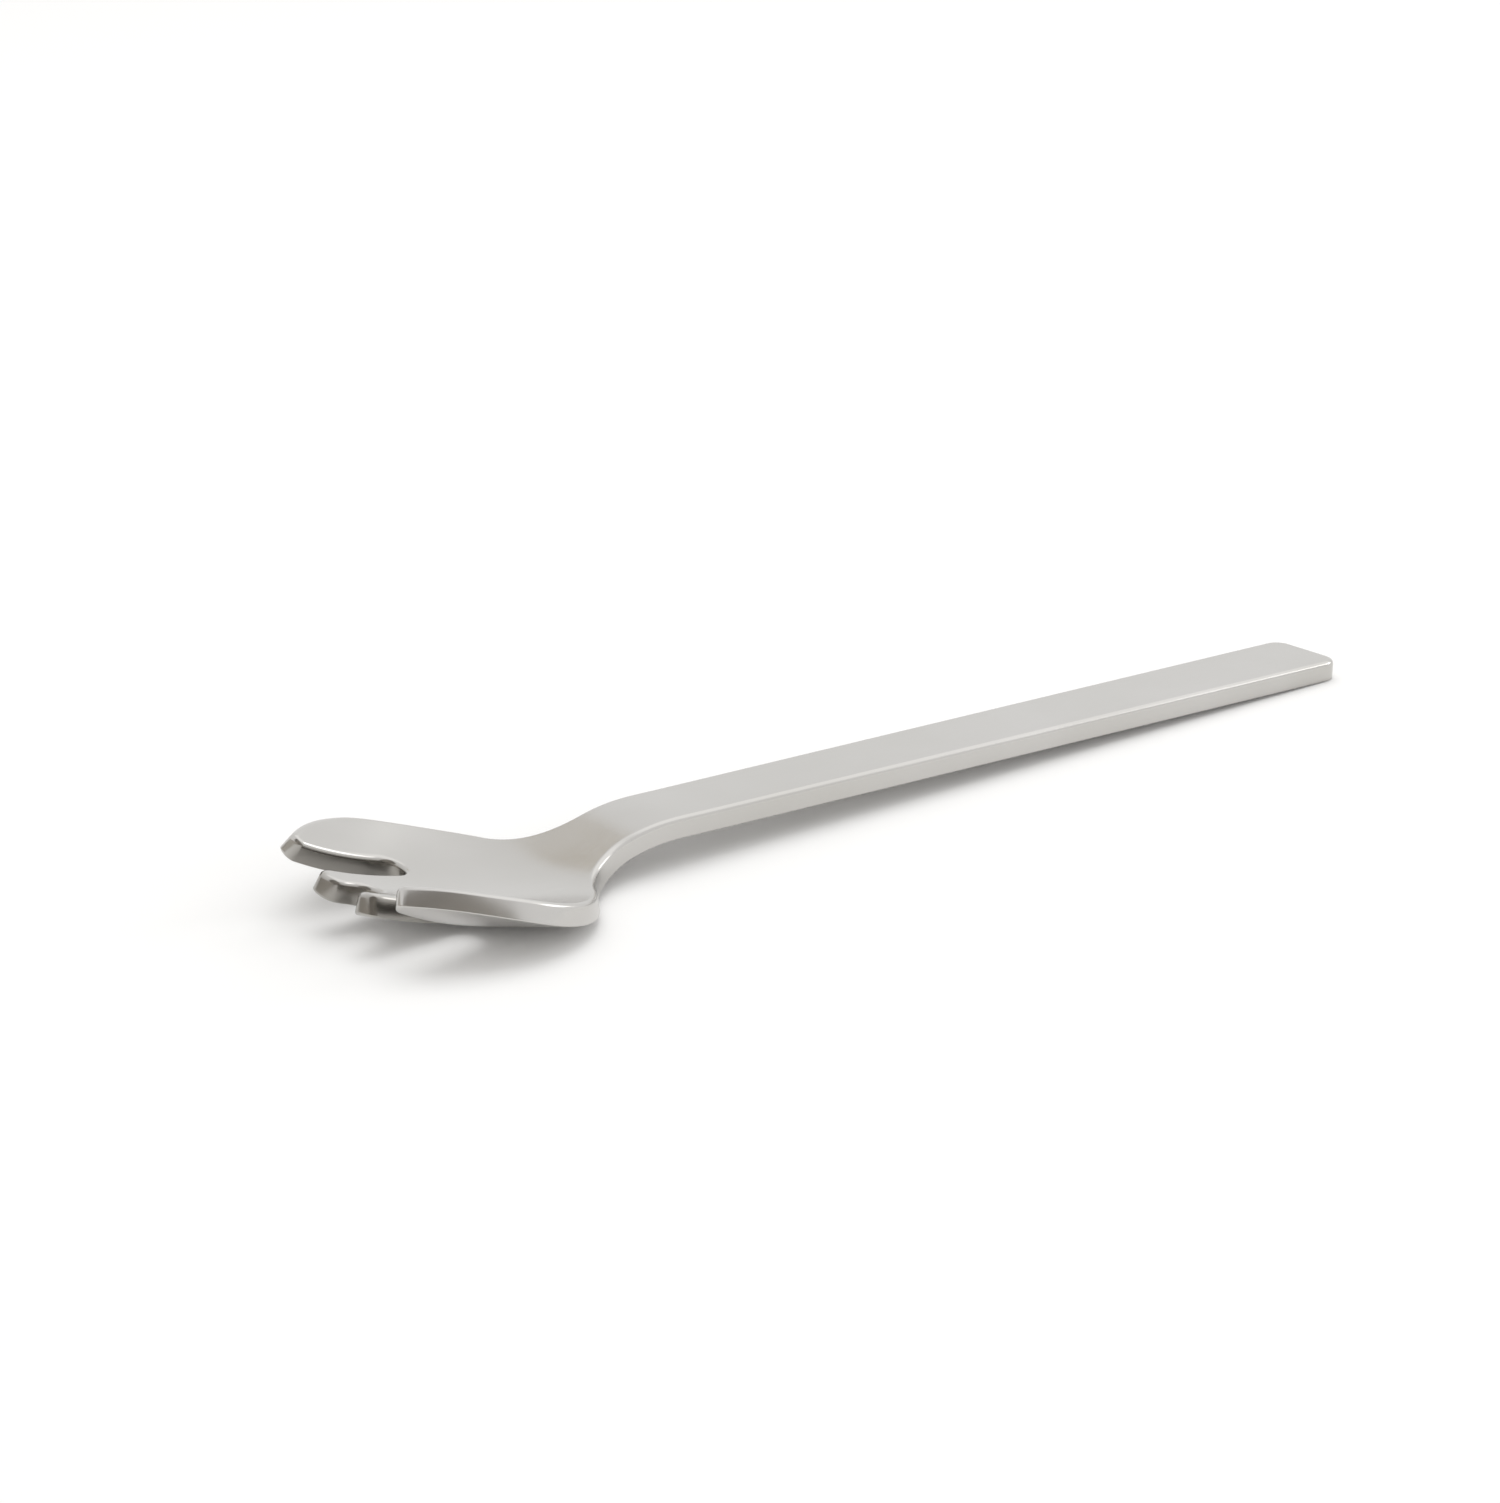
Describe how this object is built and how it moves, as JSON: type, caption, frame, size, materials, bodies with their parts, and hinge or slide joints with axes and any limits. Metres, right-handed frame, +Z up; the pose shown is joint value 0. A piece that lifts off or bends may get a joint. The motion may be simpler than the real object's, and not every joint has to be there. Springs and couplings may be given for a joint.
{
  "type": "oyster fork",
  "caption": "Satin steel oyster fork with a flat widening handle, a bent neck and a broad dished head slotted into short tines, for loosening and lifting shellfish.",
  "frame": {"origin": "on the table under the fork, half-way along it and on its centre line", "axes": "+X from the tine tips to the end of the handle, +Z up from the table"},
  "size_m": [0.1398, 0.0328, 0.0089],
  "materials": {
    "steel": "satin, brushed lengthwise"
  },
  "bodies": {
    "root": {"fork_body": "steel"}
  },
  "joints": []
}
